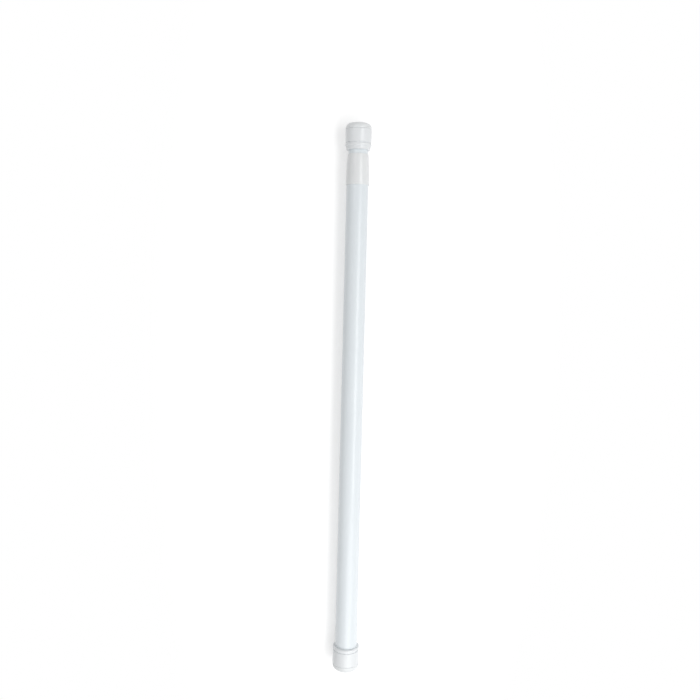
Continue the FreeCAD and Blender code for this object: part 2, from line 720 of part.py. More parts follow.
def build_pieces():
    """Every piece of the rod, as one list."""
    far_foot = sheet.collapsed_length
    far_cap = far_foot - sheet.pad_thickness
    far_screw = far_cap - sheet.recess_depth
    near_screw = sheet.pad_thickness + sheet.recess_depth
    band_x = washer_x - sheet.band_setback - sheet.band_width
    band_r = outer_bore_r - sheet.slide_clearance
    washer_bore_r = thread_r + sheet.free_clearance
    return [
        foot_pad("outer_foot_pad", 0),
        end_cap("outer_cap", sheet.pad_thickness),
        cap_screw("outer_cap_screw", near_screw),
        tube_plug("outer_cap_plug", tube_inset, outer_bore_r),
        ring("outer_tube", tube_inset, mouth_x - tube_inset, outer_r, outer_bore_r),
        mouth_ferrule(),
        hex_nut("stop_nut", stop_nut_x, sheet.stop_nut_t),
        expander_cone(),
        hex_nut("cone_nut", cone_x, sheet.cone_nut_t),
        expander_sleeve(),
        ring("drag_band", band_x, sheet.band_width, band_r, band_r - sheet.band_thickness),
        ring("thrust_washer", washer_x, sheet.washer_t, sheet.washer_d / 2, washer_bore_r),
        spindle(),
        guide_plug(),
        spring_plate(),
        plate_clip(),
        press_spring(),
        spring_seat(),
        retaining_pins(),
        thin_tube(),
        reducer("inner_reducer", far_tube_end, flipped=True),
        tube_plug("inner_cap_plug", far_tube_end, inner_bore_r, flipped=True),
        cap_screw("inner_cap_screw", far_screw, flipped=True),
        end_cap("inner_cap", far_cap, flipped=True),
        foot_pad("inner_foot_pad", far_foot, flipped=True),
    ]


def check(pieces):
    """Stops if a feature failed, or a piece isn't one sound solid for each one that it should hold."""
    for item in doc.Objects:
        if "Invalid" in item.State or "Error" in item.State:
            raise RuntimeError(f"{item.Label} failed: {item.State}")
    for piece in pieces:
        shape = piece.Shape
        if shape.isNull() or not shape.isValid() or not shape.Solids:
            raise RuntimeError(f"{piece.Label} has no sound shape")


def write(pieces):
    os.makedirs("parts", exist_ok=True)
    for piece in pieces:
        piece.Shape.exportStep(f"parts/{piece.Label}.step")
        count = len(piece.Shape.Solids)
        print(f"{piece.Label}: {count} solid, {piece.Shape.Volume / 1000:.3f} cm3")


all_pieces = build_pieces()
doc.recompute()
check(all_pieces)
write(all_pieces)
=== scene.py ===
# %% [markdown]
# # Dressing a spring tension rod
#
# The rod is a pair of white tubes, one inside the other, with a moulded cap and a soft foot at each
# end. Its parts come from a CAD model with true sizes, so this lesson only gives it its looks: smooth
# turned shells over the CAD solids, finishes, light and a camera. Nothing here moves a CAD piece.

import bmesh
import bpy
import json
import math
from mathutils import Matrix, Vector


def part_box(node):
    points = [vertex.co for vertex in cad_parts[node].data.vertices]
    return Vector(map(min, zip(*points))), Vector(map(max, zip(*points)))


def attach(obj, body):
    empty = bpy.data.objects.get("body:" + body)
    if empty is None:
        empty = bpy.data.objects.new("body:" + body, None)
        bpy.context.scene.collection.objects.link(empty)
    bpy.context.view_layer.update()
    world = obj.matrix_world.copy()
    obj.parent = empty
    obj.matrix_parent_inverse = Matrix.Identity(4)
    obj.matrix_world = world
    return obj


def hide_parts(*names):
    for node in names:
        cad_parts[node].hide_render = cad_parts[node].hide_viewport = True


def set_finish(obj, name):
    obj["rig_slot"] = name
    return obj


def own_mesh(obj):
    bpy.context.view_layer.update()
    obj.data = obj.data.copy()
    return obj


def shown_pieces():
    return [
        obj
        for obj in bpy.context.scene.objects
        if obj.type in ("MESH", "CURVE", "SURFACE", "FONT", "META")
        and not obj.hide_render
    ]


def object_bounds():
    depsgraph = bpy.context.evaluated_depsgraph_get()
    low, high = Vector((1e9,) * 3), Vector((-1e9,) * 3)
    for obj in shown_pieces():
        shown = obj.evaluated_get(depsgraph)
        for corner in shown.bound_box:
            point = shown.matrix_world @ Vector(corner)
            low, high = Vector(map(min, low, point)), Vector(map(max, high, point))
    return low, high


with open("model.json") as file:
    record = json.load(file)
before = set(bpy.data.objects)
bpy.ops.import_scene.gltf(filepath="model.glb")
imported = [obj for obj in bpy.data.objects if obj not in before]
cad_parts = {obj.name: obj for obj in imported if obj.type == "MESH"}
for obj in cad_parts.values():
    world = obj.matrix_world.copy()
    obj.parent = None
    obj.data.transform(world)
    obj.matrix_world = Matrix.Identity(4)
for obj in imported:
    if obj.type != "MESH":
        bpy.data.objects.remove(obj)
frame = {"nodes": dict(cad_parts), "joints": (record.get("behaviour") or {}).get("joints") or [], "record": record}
cad_low, cad_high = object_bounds()
print("CAD pieces:", len(frame["nodes"]))
print("CAD box in mm:", [round(1000 * (high - low), 1) for low, high in zip(cad_low, cad_high)])

# %% [markdown]
# Every place along the rod can be read from the CAD pieces. A small record of where a piece starts and
# ends and how wide it is keeps the numbers in one place, and a change of the CAD model carries over.

# %% Read where each piece lies
MM = 0.001


class Span:
    """Where a CAD piece starts and ends along X, and its outer radius."""

    def __init__(self, node):
        low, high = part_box(node)
        self.start = low.x
        self.end = high.x
        self.length = high.x - low.x
        self.radius = high.z


wide_tube = Span("outer_tube")
thin_tube = Span("inner_tube")
ferrule = Span("mouth_ferrule")
near_cap = Span("outer_cap")
near_pad = Span("outer_foot_pad")
far_pad = Span("inner_foot_pad")
bush = Span("inner_reducer")
coil = Span("press_spring")
pins = Span("retaining_pins")
spindle = Span("spindle")
washer = Span("thrust_washer")
plate = Span("spring_plate")
clip = Span("plate_clip")
near_screw = Span("outer_cap_screw")
far_screw = Span("inner_cap_screw")
print(f"wide tube {wide_tube.start:.4f} to {wide_tube.end:.4f} m, radius {wide_tube.radius:.4f} m")
print(f"thin tube {thin_tube.start:.4f} to {thin_tube.end:.4f} m, radius {thin_tube.radius:.4f} m")

# %% [markdown]
# ## One way to make every round piece
#
# All visible pieces are round about the rod's axis. Each could be a cylinder that is scaled and
# bevelled, but a lathe is closer to how a mould or a die shapes it: draw half of the section as an
# outline of a few corners, round some of them, and spin it once round the axis. Rounding the corners
# before the spin costs almost nothing, and every ring of faces comes out even.
#
# The first tool rounds one corner of the outline. A vertex bevel wants the distance from the corner to
# where the round starts, which is the radius divided by the tangent of half the corner's angle.

# %% Round a corner
def round_corner(mesh, corner, radius, steps):
    """Replaces one corner of the flat outline by a round stretch that meets both sides smoothly."""
    first, second = (edge.other_vert(corner).co - corner.co for edge in corner.link_edges)
    bmesh.ops.bevel(
        mesh,
        geom=[corner],
        offset=radius / math.tan(first.angle(second) / 2),
        offset_type="OFFSET",
        segments=steps,
        profile=0.5,
        affect="VERTICES",
        material=-1,
    )


# %% [markdown]
# A mesh that leaves the lathe needs its faces turned outwards and its shading set: smooth along the
# curves, sharp at the few real edges. Every piece goes through the same last step, so it looks the
# same from whichever end it was drawn.

# %% Finish a mesh
SMOOTH_ANGLE = math.radians(32)


def finished(mesh, name):
    """Turns a bmesh into an object with smooth shading, except over real edges."""
    bmesh.ops.recalc_face_normals(mesh, faces=mesh.faces[:])
    data = bpy.data.meshes.new(name)
    mesh.to_mesh(data)
    mesh.free()
    data.shade_smooth()
    data.set_sharp_from_angle(angle=SMOOTH_ANGLE)
    piece = bpy.data.objects.new(name, data)
    bpy.context.scene.collection.objects.link(piece)
    return piece


# %% [markdown]
# Now the lathe itself. The spin's last ring of points lands on its first, so both are merged, and so
# are the many points that an outline on the axis leaves there.

# %% The lathe
RING_STEPS = 128
SAME_PLACE = 1e-6


def turned(name, outline, rounds=None, steps=8):
    """Spins an outline of (x, radius) corners once round the axis. rounds gives some corners, by
    their number in the outline, a radius. An outline that starts and ends on the axis stays open
    there, and any other is closed."""
    mesh = bmesh.new()
    corners = [mesh.verts.new((x, 0, radius)) for x, radius in outline]
    for corner, following in zip(corners, corners[1:]):
        mesh.edges.new((corner, following))
    if outline[0][1] > 0:
        mesh.edges.new((corners[-1], corners[0]))
    for number, radius in (rounds or {}).items():
        round_corner(mesh, corners[number], radius, steps)
    bmesh.ops.spin(
        mesh,
        geom=mesh.verts[:] + mesh.edges[:],
        cent=(0, 0, 0),
        axis=(1, 0, 0),
        angle=math.tau,
        steps=RING_STEPS,
        use_merge=True,
    )
    bmesh.ops.remove_doubles(mesh, verts=mesh.verts[:], dist=SAME_PLACE)
    return finished(mesh, name)


# %% [markdown]
# Each new piece stands for one CAD solid. It moves with that solid's body, hides the plain version and
# takes over its material slot.

# %% Let a piece stand for a CAD solid
def stand_for(piece, node, body, slot):
    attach(piece, body)
    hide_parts(node)
    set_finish(piece, slot)
    print(f"{piece.name}: {len(piece.data.polygons)} faces, stands for {node}")
    return piece


# %% [markdown]
# ## The two tubes
#
# Real rod tubes are rolled or drawn, lacquered and then cut, so their ends are square with a hair of
# rounding where the saw burr was taken off. A tube is the simplest outline there is: a long thin
# rectangle beside the axis. Stations divide its long faces where something will be cut into them, so
# that the shading stays even on both sides of the cut.

# %% Make the wide tube
TUBE_WALL = 1.0 * MM
CUT_EDGE = 0.2 * MM
CUT_STEPS = 3


def tube(name, span, stations=()):
    """A tube with square ends. stations are the places along X where its long faces are divided."""
    bore = span.radius - TUBE_WALL
    outline = [(span.start, bore), (span.start, span.radius)]
    outline += [(x, span.radius) for x in stations]
    outline += [(span.end, span.radius), (span.end, bore)]
    outline += [(x, bore) for x in reversed(stations)]
    ends = (0, 1, len(stations) + 2, len(stations) + 3)
    return turned(name, outline, rounds={number: CUT_EDGE for number in ends}, steps=CUT_STEPS)


stand_for(tube("wide_tube", wide_tube), "outer_tube", "outer", "white_tube")

# %% [markdown]
# The thin tube is drilled across in two places for the pins that hold the guide plug and the spring's
# seat. The seat's pins come out of the ferrule when the rod is fully extended, so the holes are really
# cut and the steel pins show in them, a tenth of a millimetre under the surface. Cutting a round hole
# in a round wall is what a Boolean is for; it is applied at once, so that the piece stays a plain mesh.

# %% Drill the thin tube
PIN_RADIUS = 1.5 * MM
DRILL_CLEARANCE = 0.1 * MM
DRILL_SIDES = 48
HOLE_MARGIN = 3.0 * MM

pin_places = (pins.start + PIN_RADIUS, pins.end - PIN_RADIUS)
aside = PIN_RADIUS + HOLE_MARGIN
stations = [place + side for place in pin_places for side in (-aside, aside)]


def drill_bits():
    """One mesh with a round bar right across the tube at each place of the pins."""
    mesh = bmesh.new()
    radius = PIN_RADIUS + DRILL_CLEARANCE
    for place in pin_places:
        bmesh.ops.create_cone(
            mesh,
            cap_ends=True,
            segments=DRILL_SIDES,
            radius1=radius,
            radius2=radius,
            depth=2 * wide_tube.radius,
            matrix=Matrix.Translation((place, 0, 0)),
        )
    return finished(mesh, "drill_bits")


def cut_away(piece, tool):
    """Takes the tool's volume out of the piece, and then the tool out of the scene."""
    cut = piece.modifiers.new("cut", "BOOLEAN")
    cut.operation = "DIFFERENCE"
    cut.solver = "EXACT"
    cut.object = tool
    ready = piece.evaluated_get(bpy.context.evaluated_depsgraph_get())
    piece.data = bpy.data.meshes.new_from_object(ready)
    piece.modifiers.clear()
    piece.data.set_sharp_from_angle(angle=SMOOTH_ANGLE)
    bpy.data.objects.remove(tool)
    return piece


thin_shell = cut_away(tube("thin_tube", thin_tube, stations), drill_bits())
stand_for(thin_shell, "inner_tube", "inner", "white_tube")
print("pins at", [f"{place:.4f}" for place in pin_places], "m")

# %% [markdown]
# ## The bell-shaped ferrule
#
# The ferrule slips over the wide tube's mouth and hides the step down to the thin tube. Its outside
# starts a little wider than the tube, runs straight for a few millimetres and then falls along one
# wide arc to a thin lip at the neck. The arc's radius follows from how far it runs and how much it
# drops, so the bell meets the straight band without a kink.

# %% Draw the bell
BELL_STEPS = 24


def bell(start, wide, end, narrow):
    """Points of the arc that leaves (start, wide) along X and reaches (end, narrow)."""
    run = end - start
    drop = wide - narrow
    radius = (run * run + drop * drop) / (2 * drop)
    whole = math.asin(run / radius)
    turns = [whole * step / BELL_STEPS for step in range(BELL_STEPS + 1)]
    return [(start + radius * math.sin(turn), wide - radius * (1 - math.cos(turn))) for turn in turns]


# %% [markdown]
# Inside, the ferrule is a socket for the wide tube and then a running bore for the thin one. Its wide
# edge is rounded like any moulded rim, and its end at the neck is broken to a narrow slope.

# %% Make the ferrule
SOCKET_CLEARANCE = 0.1 * MM
RUNNING_CLEARANCE = 0.07 * MM
FERRULE_BAND = 4.0 * MM
FERRULE_EDGE = 0.5 * MM
FERRULE_END_WALL = 0.73 * MM


def make_ferrule():
    socket = wide_tube.radius + SOCKET_CLEARANCE
    bore = thin_tube.radius + RUNNING_CLEARANCE
    narrow = bore + FERRULE_END_WALL
    arc = bell(ferrule.start + FERRULE_BAND, ferrule.radius, ferrule.end - FERRULE_EDGE, narrow)
    outline = [(ferrule.start, socket), (ferrule.start, ferrule.radius), *arc]
    outline += [(ferrule.end, narrow - FERRULE_EDGE), (ferrule.end, bore)]
    outline += [(wide_tube.end, bore), (wide_tube.end, socket)]
    return turned("mouth_ferrule_bell", outline, rounds={1: FERRULE_EDGE})


stand_for(make_ferrule(), "mouth_ferrule", "outer", "ferrule_plastic")

# %% [markdown]
# ## The end caps
#
# Both ends carry the same moulded cap. It widens slightly towards the wall, as a moulding must to
# leave its tool, and ends in a rounded rim bead behind a narrow groove. It is drawn once, as distances
# from the wall, and a small function turns such a distance into X for either end of the rod.

# %% Make the caps
CAP_DRAFT = 0.4 * MM
GROOVE_WIDTH = 1.0 * MM
GROOVE_DEPTH = 0.9 * MM
GROOVE_EDGE = 0.75 * MM
BEAD_WIDTH = 3.8 * MM
BEAD_HEIGHT = 0.3 * MM
BEAD_ROUND = 1.15 * MM
SEAM_EDGE = 0.9 * MM
SEAT_WIDTH = 4.0 * MM
RECESS_DEPTH = 2.5 * MM
CAP_FLOOR = 3.0 * MM
SCREW_HOLE_RADIUS = 2.3 * MM

recess_radius = near_cap.radius - SEAT_WIDTH
seam = near_cap.start - near_pad.start
rim = near_cap.end - near_pad.start


def from_near_wall(distance):
    return near_pad.start + distance


def from_far_wall(distance):
    return far_pad.end - distance


def cap(name, place):
    """The section starts at the seam, runs along the outside to the rim and comes back inside."""
    neck = near_cap.radius - CAP_DRAFT
    socket = wide_tube.radius + SOCKET_CLEARANCE
    floor = seam + RECESS_DEPTH
    bead = rim - BEAD_WIDTH
    top = neck + BEAD_HEIGHT
    section = [(seam, recess_radius), (seam, near_cap.radius), (bead - GROOVE_WIDTH, neck)]
    section += [(bead - GROOVE_WIDTH, neck - GROOVE_DEPTH), (bead, neck - GROOVE_DEPTH)]
    section += [(bead, top), (rim, top), (rim, socket)]
    section += [(floor + CAP_FLOOR, socket), (floor + CAP_FLOOR, SCREW_HOLE_RADIUS)]
    section += [(floor, SCREW_HOLE_RADIUS), (floor, recess_radius)]
    rounds = {1: SEAM_EDGE, 2: GROOVE_EDGE, 5: BEAD_ROUND, 6: BEAD_ROUND}
    outline = [(place(distance), radius) for distance, radius in section]
    return turned(name, outline, rounds)


stand_for(cap("near_cap_shell", from_near_wall), "outer_cap", "outer", "cap_plastic")
stand_for(cap("far_cap_shell", from_far_wall), "inner_cap", "inner", "cap_plastic")

# %% [markdown]
# ## The soft feet
#
# A foot presses on the wall with a flat face, which has two shallow rings for grip, and its edge is
# fully rounded so that it doesn't mark the wall. A spigot behind it sits in the cap's recess, with a
# pocket for the screw's head. A sphere that is cut off would be too round: this is a flat disc with a
# generous round, so the outline says just that.

# %% Make the feet
PAD_ROUND = 6.5 * MM
PAD_STEPS = 12
RING_DEPTH = 0.6 * MM
RING_WIDTH = 1.2 * MM
RING_EDGE = 0.2 * MM
RING_RADII = (3.0 * MM, 5.6 * MM)
SPIGOT_CLEARANCE = 0.1 * MM
POCKET_RADIUS = 4.3 * MM
POCKET_DEPTH = 2.4 * MM


def foot(name, place):
    """The section starts in the screw's pocket, runs round the edge and ends in the wall face."""
    back = near_pad.length
    spigot = recess_radius - SPIGOT_CLEARANCE
    pocket = back - POCKET_DEPTH
    section = [(pocket, 0), (pocket, POCKET_RADIUS), (back, POCKET_RADIUS), (back, spigot)]
    section += [(seam, spigot), (seam, near_pad.radius), (0, near_pad.radius)]
    rounds = {5: SEAM_EDGE, 6: PAD_ROUND}
    for inner in reversed(RING_RADII):
        outer = inner + RING_WIDTH
        rounds[len(section)] = RING_EDGE
        section += [(0, outer), (RING_DEPTH, outer), (RING_DEPTH, inner), (0, inner)]
        rounds[len(section) - 1] = RING_EDGE
    section.append((0, 0))
    outline = [(place(distance), radius) for distance, radius in section]
    return turned(name, outline, rounds, PAD_STEPS)


stand_for(foot("near_foot", from_near_wall), "outer_foot_pad", "outer", "soft_foot")
stand_for(foot("far_foot", from_far_wall), "inner_foot_pad", "inner", "soft_foot")

# %% [markdown]
# ## The bush under the far cap
#
# The far cap is the same size as the near one but sits on the thinner tube, so a bush fills the gap.
# Only its collar shows, as one more step between the cap's bead and the neck.

# %% Make the bush
COLLAR_LENGTH = 4.5 * MM
COLLAR_ROUND = 0.8 * MM


def make_bush():
    bore = thin_tube.radius + SOCKET_CLEARANCE
    step = bush.start + COLLAR_LENGTH
    outline = [(bush.start, bore), (bush.start, bush.radius), (step, bush.radius)]
    outline += [(step, wide_tube.radius), (bush.end, wide_tube.radius), (bush.end, bore)]
    return turned("collar_bush", outline, rounds={1: COLLAR_ROUND})


stand_for(make_bush(), "inner_reducer", "inner", "cap_plastic")

# %% [markdown]
# ## The spring
#
# Round wire is wound with one close turn at each end and six open ones between. A curve with a round
# bevel would do, but spinning a small circle while it moves along the axis is the same lathe step
# again, and three stretches with their own pitch give the closed ends.

# %% Wind the spring
WIRE = 2.5 * MM
WIRE_SIDES = 16
CLOSED_PITCH = 2.6 * MM
OPEN_TURNS = 6
STEPS_A_TURN = 48
QUARTER_TURN = Matrix.Rotation(math.pi / 2, 3, "X")


def wind(mesh, ends, pitch, turns):
    """Carries the wire's last ring on along one stretch of the coil and returns its new last ring."""
    made = bmesh.ops.spin(
        mesh,
        geom=ends,
        cent=(0, 0, 0),
        axis=(1, 0, 0),
        dvec=(pitch / STEPS_A_TURN, 0, 0),
        angle=math.tau * turns,
        steps=STEPS_A_TURN * turns,
    )
    return made["geom_last"]


def make_spring():
    mesh = bmesh.new()
    circle = bmesh.ops.create_circle(mesh, cap_ends=False, radius=WIRE / 2, segments=WIRE_SIDES)
    ring = circle["verts"]
    bmesh.ops.rotate(mesh, verts=ring, cent=(0, 0, 0), matrix=QUARTER_TURN)
    bmesh.ops.translate(mesh, verts=ring, vec=(coil.start + WIRE / 2, 0, coil.radius - WIRE / 2))
    open_pitch = (coil.length - WIRE - 2 * CLOSED_PITCH) / OPEN_TURNS
    first = ring + mesh.edges[:]
    last = first
    for pitch, turns in ((CLOSED_PITCH, 1), (open_pitch, OPEN_TURNS), (CLOSED_PITCH, 1)):
        last = wind(mesh, last, pitch, turns)
    for wire_end in (first, last):
        edges = [item for item in wire_end if isinstance(item, bmesh.types.BMEdge)]
        bmesh.ops.edgeloop_fill(mesh, edges=edges)
    return finished(mesh, "coil_spring")


spring = stand_for(make_spring(), "press_spring", "inner", "spring_steel")

# %% [markdown]
# The spring gets shorter as the thin tube is pressed in. The length that the joint's travel leaves it, and
# its share of the full length, are worked out here, and the spring gets a mesh of its own.

# %% Work out how far the spring is pressed
press_joint = next(joint for joint in frame["joints"] if joint["name"] == "spring_press")
pressed_length = coil.length - press_joint["range_m"][1]
share_left = pressed_length / coil.length
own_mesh(spring)
print(f"spring {1000 * coil.length:.1f} mm long, pressed {1000 * pressed_length:.1f} mm")

# %% [markdown]
# ## The spindle
#
# The spindle lies hidden in the tubes. Its front is a screw that draws the cone into the sleeve, its
# middle a hexagon that the thin tube turns, and its rear a spigot for the spring's plate. A thread is
# the lathe step once more: the ridge's profile is spun round the axis and moves on by one pitch a turn.
# It starts too early and ends too late, so two flat cuts give the rod square ends, and the tip is
# filed to a cone. Rounding lets the turns drift a little apart, so they are merged more generously
# than the other pieces' seams. The cap screws get their thread from the same tool, so its sizes are
# arguments.

# %% Cut a thread
DEPTH_SHARE = 0.55
CREST_SHARE = 0.125
LEAD_TURNS = 1.5
SPARE_TURNS = 2
THREAD_STEPS = 32
DRIFT = 4e-6


def file_tip(mesh, start, tip_radius, slope):
    """Brings every point near the tip in to a cone that widens by slope along X."""
    for point in mesh.verts:
        room = tip_radius + slope * max(0, point.co.x - start)
        reach = math.hypot(point.co.y, point.co.z)
        if reach > room:
            point.co.y *= room / reach
            point.co.z *= room / reach


def thread(start, end, radius, pitch, tip_radius, slope):
    """A threaded rod along X with its tip at start. Depth and crest are shares of the pitch."""
    mesh = bmesh.new()
    turns = math.ceil((end - start) / pitch) + SPARE_TURNS
    first = start - LEAD_TURNS * pitch
    root = radius - DEPTH_SHARE * pitch
    flank = (1 - CREST_SHARE) * pitch / 2
    profile = [(0, root), (flank, radius), (pitch - flank, radius), (pitch, root)]
    corners = [mesh.verts.new((first + x, 0, height)) for x, height in profile]
    edges = [mesh.edges.new(pair) for pair in zip(corners, corners[1:])]
    bmesh.ops.spin(
        mesh,
        geom=corners + edges,
        cent=(0, 0, 0),
        axis=(1, 0, 0),
        dvec=(pitch / THREAD_STEPS, 0, 0),
        angle=math.tau * turns,
        steps=THREAD_STEPS * turns,
    )
    bmesh.ops.remove_doubles(mesh, verts=mesh.verts[:], dist=DRIFT)
    for x, outwards in ((start, -1), (end, 1)):
        whole = mesh.verts[:] + mesh.edges[:] + mesh.faces[:]
        bmesh.ops.bisect_plane(
            mesh, geom=whole, plane_co=(x, 0, 0), plane_no=(outwards, 0, 0), clear_outer=True
        )
    bmesh.ops.holes_fill(mesh, edges=mesh.edges[:], sides=0)
    file_tip(mesh, start, tip_radius, slope)
    bmesh.ops.remove_doubles(mesh, verts=mesh.verts[:], dist=SAME_PLACE)
    return finished(mesh, "thread")


# %% [markdown]
# The hexagon is a cylinder with six sides and slightly broken edges. The three stretches meet face to
# face and are put into one mesh, because they are one turned and milled rod.

# %% Put the spindle together
SPINDLE_THREAD = {"radius": 3.0 * MM, "pitch": 1.0 * MM, "tip_radius": 2.2 * MM, "slope": 1}
HEXAGON_EDGE = 0.15 * MM
SPIGOT_RADIUS = 2.5 * MM
SPIGOT_EDGE = 0.2 * MM
CLIP_GROOVE = 0.4 * MM


def hexagon(start, end, flat_radius):
    """A six-sided bar along X, with each flat at flat_radius from the axis."""
    mesh = bmesh.new()
    corner_radius = flat_radius / math.cos(math.pi / 6)
    along = Matrix.Translation(((start + end) / 2, 0, 0)) @ Matrix.Rotation(math.pi / 2, 4, "Y")
    bmesh.ops.create_cone(
        mesh,
        cap_ends=True,
        segments=6,
        radius1=corner_radius,
        radius2=corner_radius,
        depth=end - start,
        matrix=along,
    )
    bmesh.ops.bevel(
        mesh,
        geom=mesh.edges[:],
        offset=HEXAGON_EDGE,
        segments=2,
        profile=0.5,
        affect="EDGES",
        material=-1,
    )
    return finished(mesh, "hexagon")


def rear_spigot():
    """The round end that carries the spring's plate, with a groove for the plate's clip."""
    groove = SPIGOT_RADIUS - CLIP_GROOVE
    outline = [(plate.start, 0), (plate.start, SPIGOT_RADIUS), (clip.start, SPIGOT_RADIUS)]
    outline += [(clip.start, groove), (clip.end, groove), (clip.end, SPIGOT_RADIUS)]
    outline += [(spindle.end, SPIGOT_RADIUS), (spindle.end, 0)]
    return turned("spigot", outline, rounds={6: SPIGOT_EDGE})


def joined(name, pieces):
    """Puts several pieces into one new mesh and takes them out of the scene."""
    mesh = bmesh.new()
    for piece in pieces:
        mesh.from_mesh(piece.data)
        bpy.data.objects.remove(piece)
    return finished(mesh, name)


front = thread(spindle.start, washer.end, **SPINDLE_THREAD)
middle = hexagon(washer.end, plate.start, spindle.radius)
whole_spindle = joined("threaded_spindle", [front, middle, rear_spigot()])
stand_for(whole_spindle, "spindle", "spindle", "spindle_steel")

# %% [markdown]
# ## The cap screws
#
# Under each foot a pan-head screw goes through the cap's floor and cuts its own thread into the plug
# behind it. Its thread is coarse and runs out to a point. The head is a low dome, drawn as an arc, and
# two bars are taken out of it for the screwdriver. Both screws are made lying with the tip at the
# origin. The near one is turned end for end rather than mirrored, because a mirror would also make its
# thread left-handed.

# %% Make the cap screws
SCREW_THREAD = {"radius": 2.0 * MM, "pitch": 1.4 * MM, "tip_radius": 0, "slope": 0.5}
HEAD_RADIUS = 4.0 * MM
HEAD_HEIGHT = 2.1 * MM
CROWN = HEAD_HEIGHT / 2
DOME_STEPS = 10
CROSS_SPAN = 4.6 * MM
CROSS_WIDTH = 1.1 * MM
CROSS_DEPTH = 1.3 * MM


def dome(apex):
    """Points of the arc from the head's rim up to its crown on the axis."""
    radius = (HEAD_RADIUS**2 + CROWN**2) / (2 * CROWN)
    whole = math.asin(HEAD_RADIUS / radius)
    turns = [whole * (1 - step / DOME_STEPS) for step in range(DOME_STEPS + 1)]
    return [(apex - radius * (1 - math.cos(turn)), radius * math.sin(turn)) for turn in turns]


def cross_bar(apex, turn):
    """A bar across the head. It is centred on the apex, so its lower half is in the metal."""
    mesh = bmesh.new()
    size = Matrix.Diagonal((2 * CROSS_DEPTH, CROSS_SPAN, CROSS_WIDTH, 1))
    place = Matrix.Translation((apex, 0, 0)) @ Matrix.Rotation(turn, 4, "X")
    bmesh.ops.create_cube(mesh, size=1, matrix=place @ size)
    return finished(mesh, "cross_bar")


def cap_screw(name, length, place):
    under_head = length - HEAD_HEIGHT
    head = turned("head", [(under_head, 0), (under_head, HEAD_RADIUS), *dome(length)])
    for turn in (0, math.pi / 2):
        head = cut_away(head, cross_bar(length, turn))
    screw = joined(name, [thread(0, under_head, **SCREW_THREAD), head])
    screw.data.transform(place)
    return screw


end_for_end = Matrix.Rotation(math.pi, 4, "Z")
near_place = Matrix.Translation((near_screw.end, 0, 0)) @ end_for_end
far_place = Matrix.Translation((far_screw.start, 0, 0))
near_one = cap_screw("near_cap_screw", near_screw.length, near_place)
far_one = cap_screw("far_cap_screw", far_screw.length, far_place)
stand_for(near_one, "outer_cap_screw", "outer", "zinc_steel")
stand_for(far_one, "inner_cap_screw", "inner", "zinc_steel")

# %% [markdown]
# ## Writing shader sums as Python
#
# A finish is a small graph of nodes. Linking nodes by hand hides the sum behind the plumbing, so one
# class wraps a socket and lets plain +, - and * add Math nodes.

# %% A socket that can be reckoned with
class Amount:
    """A number that varies from place to place or from ray to ray."""

    def __init__(self, graph, socket):
        self.graph = graph
        self.socket = socket

    def __add__(self, other):
        return self.graph.sum("ADD", self, other)

    def __sub__(self, other):
        return self.graph.sum("SUBTRACT", self, other)

    def __mul__(self, other):
        return self.graph.sum("MULTIPLY", self, other)

    def __rsub__(self, other):
        return self.graph.sum("SUBTRACT", other, self)

    __radd__ = __add__
    __rmul__ = __mul__

    def contrast(self, strength):
        """The same pattern with its values spread about 0.5, the middle of the noise."""
        return self * strength - (strength - 1) / 2


# %% [markdown]
# A second class holds the graph and makes any other node in one call: what kind it is, its settings,
# and the values or links of its sockets. Both a material and the world have such a graph.

# %% A graph that makes its own nodes
MIX_AMOUNT, MIX_FIRST, MIX_SECOND, MIX_RESULT = 0, 6, 7, 2


class Graph:
    def __init__(self, tree):
        self.tree = tree

    def node(self, kind, settings=None, inputs=None):
        """One node: its settings first, then the values or links of its sockets."""
        made = self.tree.nodes.new(kind)
        for name, value in (settings or {}).items():
            setattr(made, name, value)
        for key, value in (inputs or {}).items():
            self.feed(made.inputs[key], value)
        return made

    def feed(self, socket, value):
        if isinstance(value, Amount):
            self.tree.links.new(value.socket, socket)
        elif isinstance(value, bpy.types.NodeSocket):
            self.tree.links.new(value, socket)
        else:
            socket.default_value = value

    def sum(self, operation, first, second):
        made = self.node("ShaderNodeMath", {"operation": operation}, {0: first, 1: second})
        return Amount(self, made.outputs[0])

    def blend(self, amount, first, second):
        """A colour between two, by an amount from 0 to 1."""
        inputs = {MIX_AMOUNT: amount, MIX_FIRST: (*first, 1), MIX_SECOND: (*second, 1)}
        return self.node("ShaderNodeMix", {"data_type": "RGBA"}, inputs).outputs[MIX_RESULT]

    def cover(self, amount, under, over):
        """One shader where the amount is 0 and another over it where the amount is 1."""
        inputs = {0: amount, 1: under, 2: over}
        return self.node("ShaderNodeMixShader", inputs=inputs).outputs[0]


# %% [markdown]
# A finish adds a material to that, with one shader whose fixed values are set on the shader itself.
# Its patterns are noise in the piece's own space, in features for each metre, so they keep their scale
# and move with the piece. Its relief has a real depth.

